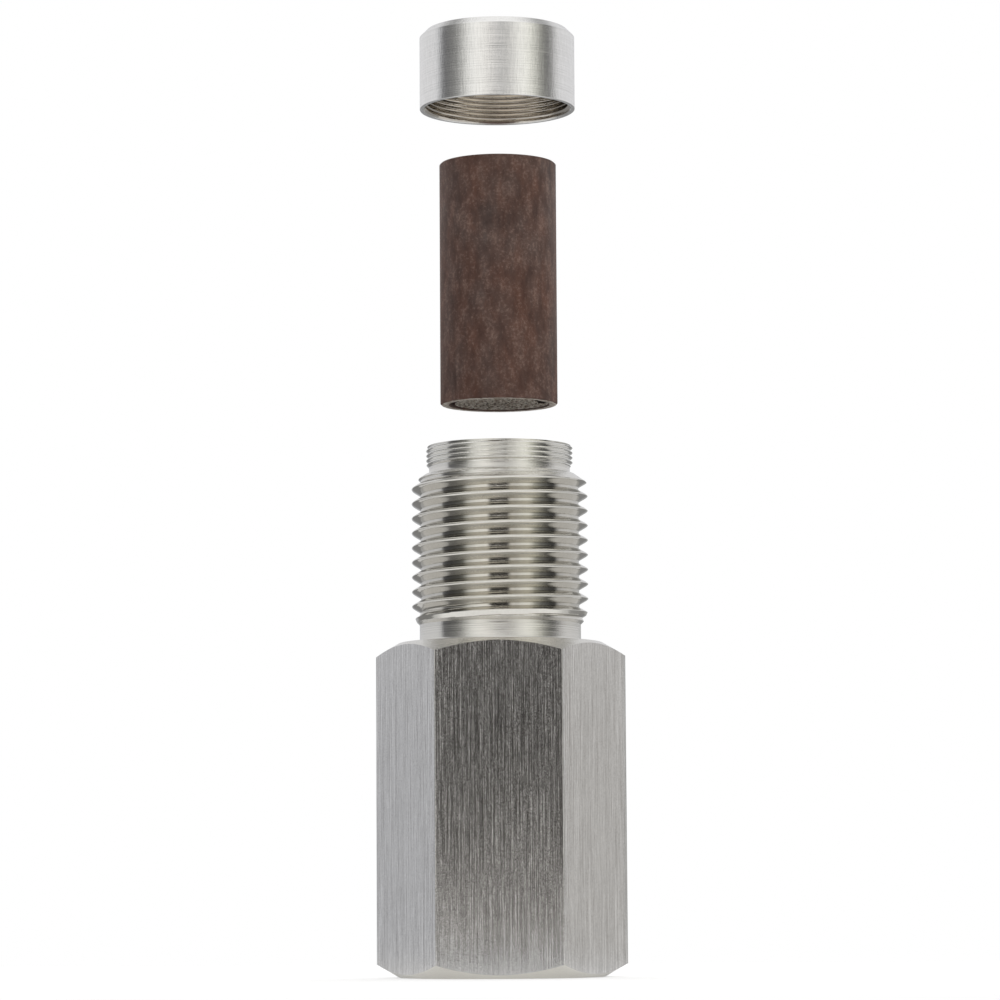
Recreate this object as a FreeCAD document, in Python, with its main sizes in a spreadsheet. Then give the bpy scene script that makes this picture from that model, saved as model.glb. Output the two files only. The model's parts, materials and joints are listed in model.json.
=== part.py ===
"""Extension adapter for an exhaust oxygen sensor, shown taken apart along its own axis.

A hexagonal body carries a female sensor thread in its foot and a male thread of the same size above.
A catalyst core drops into the bore behind the male thread, and a ring screwed on the nose holds it there.
Lengths are in millimetres. Z is the turning axis, and Z = 0 is the foot of the hexagon.
"""

import FreeCAD, Part
import math
import os
import sys

import Sketcher

SIZES = [
    # Hexagonal body
    ("hex_across_flats", 22.0, "spanner size"),
    ("hex_length", 33.7, "foot to shoulder"),
    ("hex_face_dia", 20.8, "circle where the end chamfers start"),
    ("hex_chamfer_angle", 30.0, "degrees from the end face"),
    ("hex_corner_radius", 0.3, "rounded corners of drawn bar"),
    # Sensor end, bored from the foot
    ("sensor_bore_dia", 16.4, "minor diameter of the female M18 x 1.5 thread"),
    ("sensor_mouth_dia", 18.4, "countersunk mouth of that thread"),
    ("drill_point_angle", 118.0, "degrees, the cone left by the drill"),
    ("gas_passage_dia", 9.8, "hole from the sensor chamber to the core"),
    ("gas_passage_length", 4.05, "web that carries the core"),
    # Male thread and its relief
    ("neck_dia", 16.4, "relief between shoulder and thread"),
    ("neck_length", 1.9, "relief length"),
    ("thread_dia", 18.0, "crest of the male M18 x 1.5 thread"),
    ("thread_length", 15.35, "relief to front face, chamfers included"),
    ("thread_front_dia", 15.4, "front face, where the lead starts"),
    ("thread_lead_angle", 35.0, "degrees from the front face"),
    # Nose for the retaining ring
    ("nose_dia", 15.0, "crest of the male M15 x 0.5 thread"),
    ("nose_length", 2.95, "front face to nose end"),
    ("nose_relief_dia", 14.4, "thread relief at the foot of the nose"),
    ("nose_relief_length", 0.75, "relief length"),
    ("nose_edge", 0.2, "chamfer on the nose end"),
    # Retaining ring
    ("ring_dia", 16.0, "outside"),
    ("ring_height", 8.2, "overall"),
    ("ring_edge", 0.7, "chamfer on the outer end"),
    ("ring_rim", 0.1, "chamfers on the open rim"),
    ("ring_thread_gap", 0.04, "radial play on the nose"),
    ("ring_thread_runout", 0.55, "threaded depth past the nose end"),
    ("ring_core_gap", 0.5, "radial play round the core"),
    ("ring_end_wall", 1.0, "lip that holds the core in"),
    ("ring_hole_dia", 9.8, "gas hole in the lip"),
    ("ring_hole_edge", 0.3, "chamfer of the gas hole"),
    # Catalyst core
    ("core_dia", 12.0, "sleeve outside"),
    ("core_length", 25.0, "sleeve length"),
    ("core_wall", 1.0, "sleeve wall"),
    ("core_edge", 0.15, "broken outer edges of the sleeve"),
    ("core_gap", 0.1, "radial play in the bore"),
    ("core_end_play", 0.2, "play under the ring's lip"),
    ("foil_inset", 0.1, "foil ends set back from the sleeve ends"),
    ("foil_layer", 1.0, "flat foil to flat foil"),
    ("foil_wave", 1.15, "length of one corrugation"),
    ("foil_skin", 0.12, "foil with its coating"),
    ("foil_crest", 0.16, "flat at each crest of the corrugation"),
    ("foil_start", 0.2, "thinnest layer that still holds a corrugation"),
    ("foil_eye", 0.5, "radius of the closed eye of the roll"),
    # Room that cutting outlines are given outside the bar
    ("cut_margin", 1.0, "past the hexagon's corners"),
    # How far the loose pieces are drawn out along the axis
    ("core_lift", 25.25, "core above its seat"),
    ("ring_lift", 37.95, "ring above its seat"),
]

doc = FreeCAD.newDocument("SensorAdapter")
sheet = doc.addObject("Spreadsheet::Sheet", "Sizes")
for row, (alias, value, note) in enumerate(SIZES, start=1):
    sheet.set(f"A{row}", f"{alias}: {note}")
    sheet.set(f"B{row}", str(value))
    sheet.setAlias(f"B{row}", alias)
doc.recompute()


def size(alias):
    """The expression for one cell."""
    return f"Sizes.{alias}"


def half(alias):
    """The radius from a diameter's cell."""
    return f"Sizes.{alias} / 2"


# Heights along the axis, each worked out from the pieces below it
SHOULDER = size("hex_length")
THREAD_START = f"({SHOULDER} + {size('neck_length')})"
RING_SEAT = f"({THREAD_START} + {size('thread_length')})"
NOSE_END = f"({RING_SEAT} + {size('nose_length')})"
LIP = f"({RING_SEAT} + {size('ring_height')} - {size('ring_end_wall')})"
CORE_SEAT = f"({LIP} - {size('core_end_play')} - {size('core_length')})"
CHAMBER_TOP = f"({CORE_SEAT} - {size('gas_passage_length')})"


def new_body(label):
    """A body whose label names its file."""
    body = doc.addObject("PartDesign::Body", label)
    body.Label = label
    return body


def new_sketch(body, name, plane):
    """A sketch on one of the body's own origin planes."""
    sketch = body.newObject("Sketcher::SketchObject", name)
    support = next(o for o in body.Origin.OriginFeatures if o.Role == plane)
    sketch.AttachmentSupport = [(support, "")]
    sketch.MapMode = "FlatFace"
    return sketch


def value_of(expression):
    """What an expression comes to now, which is where its corner is first drawn."""
    return float(sheet.evalExpression(expression))


def pin_coordinate(sketch, kind, line, expression):
    """Fixes one coordinate of a line's start point to an expression."""
    if expression == "0":
        axis = -2 if kind == "DistanceX" else -1
        sketch.addConstraint(Sketcher.Constraint("PointOnObject", line, 1, axis))
        return
    index = sketch.addConstraint(Sketcher.Constraint(kind, -1, 1, line, 1, value_of(expression)))
    sketch.setExpression(f"Constraints[{index}]", expression)


def outline(body, name, corners):
    """A closed outline in the XZ plane. Each corner is (radius, height) as expressions."""
    sketch = new_sketch(body, name, "XZ_Plane")
    points = [FreeCAD.Vector(value_of(r), value_of(z), 0) for r, z in corners]
    count = len(points)
    lines = [Part.LineSegment(points[i], points[(i + 1) % count]) for i in range(count)]
    sketch.addGeometry(lines, False)
    for i in range(count):
        sketch.addConstraint(Sketcher.Constraint("Coincident", i, 2, (i + 1) % count, 1))
    for i, (radius, height) in enumerate(corners):
        pin_coordinate(sketch, "DistanceX", i, radius)
        pin_coordinate(sketch, "DistanceY", i, height)
    return sketch


def turn(body, kind, name, corners):
    """Revolves an outline about Z: PartDesign::Revolution adds metal, PartDesign::Groove cuts it."""
    sketch = outline(body, f"{name}_outline", corners)
    feature = body.newObject(kind, name)
    feature.Profile = sketch
    feature.ReferenceAxis = (sketch, ["V_Axis"])
    feature.Angle = 360.0
    body.Tip = feature
    doc.recompute()
    return feature


def fillet(body, base, name, expression, is_wanted):
    """Rounds the edges of a feature that is_wanted picks."""
    edges = [f"Edge{i}" for i, edge in enumerate(base.Shape.Edges, start=1) if is_wanted(edge)]
    feature = body.newObject("PartDesign::Fillet", name)
    feature.Base = (base, edges)
    feature.setExpression("Radius", expression)
    body.Tip = feature
    doc.recompute()
    return feature


def is_upright(edge):
    """True for an edge along the axis, such as a corner of the bar."""
    return isinstance(edge.Curve, Part.Line) and abs(edge.Curve.Direction.z) > 0.999


def hexagon_pad(body):
    """The bar stock: a hexagon set by its flats, with a flat facing front and back."""
    sketch = new_sketch(body, "hexagon", "XY_Plane")
    corner_radius = value_of(size("hex_across_flats")) / math.sqrt(3)
    angles = [math.radians(60 * i) for i in range(6)]
    points = [FreeCAD.Vector(corner_radius * math.cos(a), corner_radius * math.sin(a), 0) for a in angles]
    sketch.addGeometry([Part.LineSegment(points[i], points[(i + 1) % 6]) for i in range(6)], False)
    circle = sketch.addGeometry(Part.Circle(FreeCAD.Vector(), FreeCAD.Vector(0, 0, 1), corner_radius), True)
    sketch.addConstraint(Sketcher.Constraint("Coincident", circle, 3, -1, 1))
    for i in range(6):
        sketch.addConstraint(Sketcher.Constraint("Coincident", i, 2, (i + 1) % 6, 1))
        sketch.addConstraint(Sketcher.Constraint("PointOnObject", i, 1, circle))
    for i in range(5):
        sketch.addConstraint(Sketcher.Constraint("Equal", i, i + 1))
    sketch.addConstraint(Sketcher.Constraint("PointOnObject", 0, 1, -1))
    radius = sketch.addConstraint(Sketcher.Constraint("Radius", circle, corner_radius))
    sketch.setExpression(f"Constraints[{radius}]", f"{size('hex_across_flats')} / sqrt(3)")
    pad = body.newObject("PartDesign::Pad", "hexagon_bar")
    pad.Profile = sketch
    pad.setExpression("Length", size("hex_length"))
    body.Tip = pad
    doc.recompute()
    fillet(body, pad, "drawn_corners", size("hex_corner_radius"), is_upright)


def chamfer_corners(end, inward):
    """The triangle that a 30 degree end chamfer takes off the bar. inward is '-' at the top and '+' at the foot."""
    beyond = f"({size('hex_across_flats')} / sqrt(3) + {size('cut_margin')})"
    drop = f"({beyond} - {half('hex_face_dia')}) * tan({size('hex_chamfer_angle')})"
    foot = f"{end} {inward} {drop}" if end != "0" else drop
    return [(half("hex_face_dia"), end), (beyond, end), (beyond, foot)]


def make_adapter_body():
    """Hexagon bar with a turned, threaded front end, bored right through."""
    body = new_body("adapter_body")
    hexagon_pad(body)
    turn(body, "PartDesign::Groove", "shoulder_chamfer", chamfer_corners(SHOULDER, "-"))
    turn(body, "PartDesign::Groove", "foot_chamfer", chamfer_corners("0", "+"))

    thread_step = f"({half('thread_dia')} - {half('neck_dia')})"
    lead_step = f"({half('thread_dia')} - {half('thread_front_dia')}) * tan({size('thread_lead_angle')})"
    nose_step = f"({half('nose_dia')} - {half('nose_relief_dia')})"
    relief_end = f"{RING_SEAT} + {size('nose_relief_length')}"
    turn(
        body,
        "PartDesign::Revolution",
        "threaded_end",
        [
            ("0", SHOULDER),
            (half("neck_dia"), SHOULDER),
            (half("neck_dia"), THREAD_START),
            (half("thread_dia"), f"{THREAD_START} + {thread_step}"),
            (half("thread_dia"), f"{RING_SEAT} - {lead_step}"),
            (half("thread_front_dia"), RING_SEAT),
            (half("nose_relief_dia"), RING_SEAT),
            (half("nose_relief_dia"), relief_end),
            (half("nose_dia"), f"{relief_end} + {nose_step}"),
            (half("nose_dia"), f"{NOSE_END} - {size('nose_edge')}"),
            (f"{half('nose_dia')} - {size('nose_edge')}", NOSE_END),
            ("0", NOSE_END),
        ],
    )

    mouth_step = f"({half('sensor_mouth_dia')} - {half('sensor_bore_dia')})"
    drill_step = f"({half('sensor_bore_dia')} - {half('gas_passage_dia')}) / tan({size('drill_point_angle')} / 2)"
    core_bore = f"({half('core_dia')} + {size('core_gap')})"
    turn(
        body,
        "PartDesign::Groove",
        "through_bore",
        [
            ("0", "0"),
            (half("sensor_mouth_dia"), "0"),
            (half("sensor_bore_dia"), mouth_step),
            (half("sensor_bore_dia"), f"{CHAMBER_TOP} - {drill_step}"),
            (half("gas_passage_dia"), CHAMBER_TOP),
            (half("gas_passage_dia"), CORE_SEAT),
            (core_bore, CORE_SEAT),
            (core_bore, f"{NOSE_END} - {size('nose_edge')}"),
            (f"{core_bore} + {size('nose_edge')}", NOSE_END),
            ("0", NOSE_END),
        ],
    )
    return body


def make_retaining_ring():
    """Turned ring nut: threaded skirt below, a lip with a gas hole above. Drawn with its rim at Z = 0."""
    body = new_body("retaining_ring")
    thread_bore = f"({half('nose_dia')} + {size('ring_thread_gap')})"
    core_room = f"({half('core_dia')} + {size('ring_core_gap')})"
    thread_end = f"({size('nose_length')} + {size('ring_thread_runout')})"
    lip = f"({size('ring_height')} - {size('ring_end_wall')})"
    turn(
        body,
        "PartDesign::Revolution",
        "ring_section",
        [
            (f"{thread_bore} + {size('ring_rim')}", "0"),
            (f"{half('ring_dia')} - {size('ring_rim')}", "0"),
            (half("ring_dia"), size("ring_rim")),
            (half("ring_dia"), f"{size('ring_height')} - {size('ring_edge')}"),
            (f"{half('ring_dia')} - {size('ring_edge')}", size("ring_height")),
            (f"{half('ring_hole_dia')} + {size('ring_hole_edge')}", size("ring_height")),
            (half("ring_hole_dia"), f"{size('ring_height')} - {size('ring_hole_edge')}"),
            (half("ring_hole_dia"), lip),
            (core_room, lip),
            (core_room, f"{thread_end} + ({thread_bore} - {core_room})"),
            (thread_bore, thread_end),
            (thread_bore, size("ring_rim")),
        ],
    )
    body.setExpression("Placement.Base.z", f"{RING_SEAT} + {size('ring_lift')}")
    return body


def make_catalyst_sleeve():
    """Plain tube with its outer edges broken, brazed round the foil. Drawn with its lower end at Z = 0."""
    body = new_body("catalyst_sleeve")
    outer, inner = half("core_dia"), f"({half('core_dia')} - {size('core_wall')})"
    edge, top = size("core_edge"), size("core_length")
    turn(
        body,
        "PartDesign::Revolution",
        "sleeve_section",
        [
            (inner, "0"),
            (f"{outer} - {edge}", "0"),
            (outer, edge),
            (outer, f"{top} - {edge}"),
            (f"{outer} - {edge}", top),
            (inner, top),
        ],
    )
    body.setExpression("Placement.Base.z", f"{CORE_SEAT} + {size('core_lift')}")
    return body


def foil_cells(roll_radius):
    """Corners of every gas channel in the wound foil, each a (radius, angle) pair.

    The roll winds inward from the sleeve. After an angle turned, one layer lies between the turn outside it and its
    own flat foil. The wavy foil zigzags across that layer and leaves channels that narrow outward and inward by turns.
    """
    layer, wave, skin = value_of(size("foil_layer")), value_of(size("foil_wave")), value_of(size("foil_skin"))
    crest, least_layer, eye = value_of(size("foil_crest")), value_of(size("foil_start")), value_of(size("foil_eye"))
    turned, narrows_out, cells = 0.0, False, []
    while True:
        flat_in = roll_radius - layer * turned / (2 * math.pi)
        flat_out = min(roll_radius, flat_in + layer)
        if flat_in < eye:
            return cells
        middle = (flat_in + flat_out) / 2
        half_wave = wave / 2 / middle
        if flat_out - flat_in > least_layer + skin:
            low, high = flat_in + skin / 2, flat_out - skin / 2
            slant = skin * math.hypot(wave / 2, high - low) / (high - low)
            wide_radius, narrow_radius = (low, high) if narrows_out else (high, low)
            wide = half_wave - (crest / 2 + slant) / wide_radius
            narrow = crest / 2 / narrow_radius
            half_low, half_high = (wide, narrow) if narrows_out else (narrow, wide)
            low /= math.cos(half_low)
            corners = [(low, -half_low), (low, half_low), (high, half_high), (high, -half_high)]
            cells.append([(radius, turned + aside) for radius, aside in corners])
        turned += half_wave
        narrows_out = not narrows_out


def make_catalyst_foil():
    """Flat and corrugated foil wound into one roll that fills the sleeve, channels right through."""
    roll_radius = value_of(f"{half('core_dia')} - {size('core_wall')}")
    rim = Part.Wire([Part.Circle(FreeCAD.Vector(), FreeCAD.Vector(0, 0, 1), roll_radius).toShape()])
    holes = []
    for cell in foil_cells(roll_radius):
        points = [FreeCAD.Vector(r * math.cos(a), r * math.sin(a), 0) for r, a in cell]
        holes.append(Part.makePolygon(points + points[:1]))
    length = value_of(f"{size('core_length')} - 2 * {size('foil_inset')}")
    face = Part.Face([rim] + holes, "Part::FaceMakerBullseye")
    foil = doc.addObject("Part::Feature", "catalyst_foil")
    foil.Label = "catalyst_foil"
    foil.Shape = face.extrude(FreeCAD.Vector(0, 0, length))
    height = value_of(f"{CORE_SEAT} + {size('core_lift')} + {size('foil_inset')}")
    foil.Placement = FreeCAD.Placement(FreeCAD.Vector(0, 0, height), FreeCAD.Rotation())
    return foil


pieces = [make_adapter_body(), make_retaining_ring(), make_catalyst_sleeve(), make_catalyst_foil()]
doc.recompute()

faults = [o.Name for o in doc.Objects if "Invalid" in o.State or "Error" in o.State]
for piece in pieces:
    if piece.Shape.isNull() or not piece.Shape.isValid() or len(piece.Shape.Solids) != 1:
        faults.append(piece.Label)
if faults:
    sys.exit(f"not built: {', '.join(faults)}")

os.makedirs("parts", exist_ok=True)
for piece in pieces:
    piece.Shape.exportStep(f"parts/{piece.Label}.step")
    box = piece.Shape.BoundBox
    print(f"{piece.Label}: {piece.Shape.Volume:.1f} mm3, Z {box.ZMin:.2f} to {box.ZMax:.2f}, X {box.XLength:.2f}")
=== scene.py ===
# %% [markdown]
# # An oxygen sensor extension adapter, drawn apart along its axis
#
# The object is four pieces on one axis: a hexagonal body with a threaded front end, a catalyst core made of a sleeve
# round a wound foil, and a ring nut that holds the core in. The photograph shows them drawn apart, in the order in
# which they go together. Everything here is turned, drawn or wound, so nearly every shape follows a rule: a lathe
# profile, a helix or a spiral. The frame that is loaded first gives each piece its place, in metres.

# %% Load the frame
import json
import math

import bmesh
import bpy
from mathutils import Matrix, Vector


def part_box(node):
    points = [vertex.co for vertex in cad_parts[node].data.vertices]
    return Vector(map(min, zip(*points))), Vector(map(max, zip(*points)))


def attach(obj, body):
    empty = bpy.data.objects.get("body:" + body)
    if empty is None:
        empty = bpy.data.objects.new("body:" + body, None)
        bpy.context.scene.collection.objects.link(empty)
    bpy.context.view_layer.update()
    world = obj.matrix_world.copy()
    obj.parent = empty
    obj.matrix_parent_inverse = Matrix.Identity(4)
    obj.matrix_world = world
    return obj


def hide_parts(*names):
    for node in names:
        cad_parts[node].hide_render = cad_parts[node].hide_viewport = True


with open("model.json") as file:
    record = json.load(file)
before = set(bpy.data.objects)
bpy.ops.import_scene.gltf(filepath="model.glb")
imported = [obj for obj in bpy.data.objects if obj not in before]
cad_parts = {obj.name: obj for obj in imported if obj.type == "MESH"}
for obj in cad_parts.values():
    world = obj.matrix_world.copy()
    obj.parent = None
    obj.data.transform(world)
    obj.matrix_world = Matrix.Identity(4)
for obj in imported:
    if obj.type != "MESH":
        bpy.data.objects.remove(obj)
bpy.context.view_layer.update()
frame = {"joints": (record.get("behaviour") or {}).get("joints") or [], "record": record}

MM = 0.001

# %% [markdown]
# ## Camera
#
# The photograph is a long-lens view from low down: the hexagon's foot is seen from just above and the ring from below.
# That fixes the camera close to the foot's height and tilts it up a little, which is easier to match with a real
# camera position than by moving the pieces. The verticals stay nearly parallel because the lens is long. The object's
# axis leans a third of a degree in the picture, so the camera is rolled by that much.

# %% Camera
CAMERA_DISTANCE = 400.0 * MM
CAMERA_HEIGHT = 6.72 * MM
CAMERA_TILT = math.radians(5.95)
CAMERA_AZIMUTH = math.radians(1.2)
CAMERA_ROLL = math.radians(-0.35)
CAMERA_ASIDE = 0.04 * MM
FOCAL_LENGTH_PX = 3935.0
PHOTO_SIDE_PX = 1000.0

scene = bpy.context.scene
camera_data = bpy.data.cameras.new("camera")
camera_data.sensor_width = 36.0
camera_data.lens = FOCAL_LENGTH_PX / PHOTO_SIDE_PX * camera_data.sensor_width
camera_data.clip_start = 0.01
camera = bpy.data.objects.new("camera", camera_data)
facing = Matrix.Rotation(CAMERA_AZIMUTH, 4, "Z") @ Matrix.Rotation(math.pi / 2 + CAMERA_TILT, 4, "X")
place = Matrix.Rotation(CAMERA_AZIMUTH, 4, "Z") @ Vector((CAMERA_ASIDE, -CAMERA_DISTANCE, CAMERA_HEIGHT))
camera.matrix_world = Matrix.Translation(place) @ facing @ Matrix.Rotation(CAMERA_ROLL, 4, "Z")
scene.collection.objects.link(camera)
scene.camera = camera
scene.view_settings.view_transform = "Standard"
print(f"lens {camera_data.lens:.1f} mm")

# %% [markdown]
# ## Two helpers for node trees
#
# Geometry and materials are both built as node trees. One function adds a node, gives it its settings and links its
# inputs, so that a tree reads from top to bottom like a list of steps. Colours are written as sRGB hex values, as a
# colour picker shows them, and turned to the linear values that the renderer works in.


# %% Helpers for node trees
def add(tree, kind, inputs=None, **settings):
    """Adds a node. An input is a value, an output socket, or a node, which stands for its first output."""
    made = tree.nodes.new(kind)
    for name, value in settings.items():
        setattr(made, name, value)
    for name, value in (inputs or {}).items():
        if isinstance(value, bpy.types.Node):
            value = value.outputs[0]
        if isinstance(value, bpy.types.NodeSocket):
            tree.links.new(value, made.inputs[name])
        else:
            made.inputs[name].default_value = value
    return made


def linear(hex_colour):
    """An sRGB hex value such as "#C0C0C0" as linear RGBA."""
    channels = [int(hex_colour[i:i + 2], 16) / 255 for i in (1, 3, 5)]
    return [c / 12.92 if c <= 0.04045 else ((c + 0.055) / 1.055) ** 2.4 for c in channels] + [1.0]


# A Mix node lists one set of sockets for each kind of data, and these are the numbers of its colour sockets
COLOUR_A, COLOUR_B, COLOUR_MIX = 6, 7, 2
print("colour sockets of a Mix node:", COLOUR_A, COLOUR_B, COLOUR_MIX)

# %% [markdown]
# ## The screw thread rule
#
# Four threads are cut into this object. A thread is a lathe surface whose radius depends on height minus pitch times
# turns, so a flat grid can be rolled into one: across the grid is one turn, and up the grid is height. Each column
# of the grid is lifted by its share of the pitch, which makes the rows run along the helix and keeps the crests
# crisp with few rows. At both ends the height is clamped, so the rows pile up into a plain circle that the rest of
# the lathe surface joins. Modelling the sweep of a triangle would need a boolean at both ends, and this doesn't.


# %% Geometry Nodes tree for a screw thread
THREAD_INPUTS = {
    "Pitch": "NodeSocketFloat",
    "Crest Radius": "NodeSocketFloat",
    "Root Radius": "NodeSocketFloat",
    "Crest Flat": "NodeSocketFloat",
    "Crest Height": "NodeSocketFloat",
    "Foot Height": "NodeSocketFloat",
    "Foot Radius": "NodeSocketFloat",
    "Foot Slope": "NodeSocketFloat",
    "Top Height": "NodeSocketFloat",
    "Top Radius": "NodeSocketFloat",
    "Top Slope": "NodeSocketFloat",
    "Segments": "NodeSocketInt",
    "Rows per Turn": "NodeSocketInt",
    "Crest Rounding": "NodeSocketFloat",
    "Root Rounding": "NodeSocketFloat",
    "Material": "NodeSocketMaterial",
}
FLANK_ANGLE = math.radians(30)


def new_geometry_tree(name, inputs):
    """An empty tree with named inputs and a geometry output. Returns the tree and its input and output nodes."""
    tree = bpy.data.node_groups.new(name, "GeometryNodeTree")
    for label, kind in inputs.items():
        tree.interface.new_socket(label, in_out="INPUT", socket_type=kind)
    tree.interface.new_socket("Geometry", in_out="OUTPUT", socket_type="NodeSocketGeometry")
    return tree, add(tree, "NodeGroupInput"), add(tree, "NodeGroupOutput")


def end_law(tree, radius, end_radius, slope, distance):
    """Lead at one end: the radius is held to the end's own there, and freed as the distance from the end grows."""
    change = add(tree, "ShaderNodeMath", {0: distance, 1: slope}, operation="MULTIPLY")
    least = add(tree, "ShaderNodeMath", {0: end_radius, 1: change}, operation="SUBTRACT")
    most = add(tree, "ShaderNodeMath", {0: end_radius, 1: change}, operation="ADD")
    return add(tree, "ShaderNodeClamp", {"Value": radius, "Min": least, "Max": most})


def build_thread_tree():
    """Rolls a grid into a threaded tube, open at both ends."""
    tree, given, result = new_geometry_tree("screw_thread", THREAD_INPUTS)
    value = given.outputs
    # Rows enough for the height and two turns more, counted from a crest below the foot
    height = add(tree, "ShaderNodeMath", {0: value["Top Height"], 1: value["Foot Height"]}, operation="SUBTRACT")
    turns = add(tree, "ShaderNodeMath", {0: height, 1: value["Pitch"]}, operation="DIVIDE")
    whole = add(tree, "ShaderNodeMath", {0: turns}, operation="CEIL")
    rows = add(tree, "ShaderNodeMath", {0: whole, 1: 3.0}, operation="ADD")
    rows = add(tree, "ShaderNodeMath", {0: rows, 1: value["Rows per Turn"]}, operation="MULTIPLY")
    rows = add(tree, "ShaderNodeMath", {0: rows, 1: 1.0}, operation="ADD")
    columns = add(tree, "ShaderNodeMath", {0: value["Segments"], 1: 1.0}, operation="ADD")
    grid = add(tree, "GeometryNodeMeshGrid",
               {"Size X": 1.0, "Size Y": 1.0, "Vertices X": columns, "Vertices Y": rows})
    place = add(tree, "ShaderNodeSeparateXYZ", {0: add(tree, "GeometryNodeInputPosition")})
    turn = add(tree, "ShaderNodeMath", {0: place.outputs["X"], 1: 0.5}, operation="ADD")
    up = add(tree, "ShaderNodeMath", {0: place.outputs["Y"], 1: 0.5}, operation="ADD")
    last_row = add(tree, "ShaderNodeMath", {0: rows, 1: 1.0}, operation="SUBTRACT")
    row = add(tree, "ShaderNodeMath", {0: up, 1: last_row}, operation="MULTIPLY")
    row = add(tree, "ShaderNodeMath", {0: row}, operation="ROUND")
    pitches = add(tree, "ShaderNodeMath", {0: row, 1: value["Rows per Turn"]}, operation="DIVIDE")
    # The lowest row starts at a crest that lies one to two pitches below the foot
    above = add(tree, "ShaderNodeMath", {0: value["Crest Height"], 1: value["Foot Height"]}, operation="SUBTRACT")
    above = add(tree, "ShaderNodeMath", {0: above, 1: value["Pitch"]}, operation="FLOORED_MODULO")
    start = add(tree, "ShaderNodeMath", {0: value["Foot Height"], 1: above}, operation="ADD")
    back = add(tree, "ShaderNodeMath", {0: value["Pitch"], 1: 2.0}, operation="MULTIPLY")
    start = add(tree, "ShaderNodeMath", {0: start, 1: back}, operation="SUBTRACT")
    lift = add(tree, "ShaderNodeMath", {0: pitches, 1: turn}, operation="ADD")
    z = add(tree, "ShaderNodeMath", {0: lift, 1: value["Pitch"], 2: start}, operation="MULTIPLY_ADD")
    z = add(tree, "ShaderNodeClamp", {"Value": z, "Min": value["Foot Height"], "Max": value["Top Height"]})
    # Distance from the nearest crest, as far as the flank lets it change the radius
    off = add(tree, "ShaderNodeMath", {0: pitches, 1: 0.5}, operation="PINGPONG")
    off = add(tree, "ShaderNodeMath", {0: off, 1: value["Pitch"]}, operation="MULTIPLY")
    half_flat = add(tree, "ShaderNodeMath", {0: value["Crest Flat"], 1: 0.5}, operation="MULTIPLY")
    off = add(tree, "ShaderNodeMath", {0: off, 1: half_flat}, operation="SUBTRACT")
    depth = add(tree, "ShaderNodeMath", {0: value["Root Radius"], 1: value["Crest Radius"]}, operation="SUBTRACT")
    flank = add(tree, "ShaderNodeMath", {0: depth}, operation="ABSOLUTE")
    flank = add(tree, "ShaderNodeMath", {0: flank, 1: math.tan(FLANK_ANGLE)}, operation="MULTIPLY")
    share = add(tree, "ShaderNodeMath", {0: off, 1: flank}, operation="DIVIDE")
    # Crest and root are rounded over a share of the flank, as a cutting tool leaves them
    share = add(tree, "ShaderNodeMath", {0: share, 1: 1.0, 2: value["Root Rounding"]}, operation="SMOOTH_MIN")
    share = add(tree, "ShaderNodeMath", {0: share, 1: 0.0, 2: value["Crest Rounding"]}, operation="SMOOTH_MAX")
    radius = add(tree, "ShaderNodeMath", {0: share, 1: depth, 2: value["Crest Radius"]}, operation="MULTIPLY_ADD")
    from_foot = add(tree, "ShaderNodeMath", {0: z, 1: value["Foot Height"]}, operation="SUBTRACT")
    from_top = add(tree, "ShaderNodeMath", {0: value["Top Height"], 1: z}, operation="SUBTRACT")
    radius = end_law(tree, radius, value["Foot Radius"], value["Foot Slope"], from_foot)
    radius = end_law(tree, radius, value["Top Radius"], value["Top Slope"], from_top)
    angle = add(tree, "ShaderNodeMath", {0: turn, 1: math.tau}, operation="MULTIPLY")
    cosine = add(tree, "ShaderNodeMath", {0: angle}, operation="COSINE")
    sine = add(tree, "ShaderNodeMath", {0: angle}, operation="SINE")
    x = add(tree, "ShaderNodeMath", {0: radius, 1: cosine}, operation="MULTIPLY")
    y = add(tree, "ShaderNodeMath", {0: radius, 1: sine}, operation="MULTIPLY")
    rolled = add(tree, "ShaderNodeCombineXYZ", {"X": x, "Y": y, "Z": z})
    moved = add(tree, "GeometryNodeSetPosition", {"Geometry": grid, "Position": rolled})
    merged = add(tree, "GeometryNodeMergeByDistance", {"Geometry": moved, "Distance": 0.001 * MM})
    realized = add(tree, "GeometryNodeRealizeInstances", {"Geometry": merged})
    finished = add(tree, "GeometryNodeSetMaterial", {"Geometry": realized, "Material": value["Material"]})
    tree.links.new(finished.outputs[0], result.inputs["Geometry"])
    return tree


def run_tree(tree, values):
    """The tree's result for these inputs, as a plain mesh."""
    carrier = bpy.data.objects.new("carrier", bpy.data.meshes.new("carrier"))
    scene.collection.objects.link(carrier)
    modifier = carrier.modifiers.new("tree", "NODES")
    modifier.node_group = tree
    for item in tree.interface.items_tree:
        if item.in_out == "INPUT":
            modifier[item.identifier] = values[item.name]
    carrier.update_tag()
    made = bpy.data.meshes.new_from_object(carrier.evaluated_get(bpy.context.evaluated_depsgraph_get()))
    bpy.data.objects.remove(carrier)
    return made


thread_tree = build_thread_tree()
print("thread tree:", len(thread_tree.nodes), "nodes")

# %% [markdown]
# ## Drawn and turned stainless steel
#
# The body is free-machining stainless bar. Its flats are as drawn and then brushed lengthwise, so they carry fine
# upright scratches that throw a reflection to the sides, and a flat that faces something dark sparkles where a scratch
# catches the light beside it. The turned surfaces carry the tool's feed marks, rings a tenth of a millimetre apart,
# which spread a reflection up and down. A cut thread has no feed marks, so its flanks mirror the room. All of them are
# one metal, so their colours lie close together and they differ in the pattern that drives tint, bump and roughness.
# The patterns read the object's own coordinates, in metres.

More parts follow.
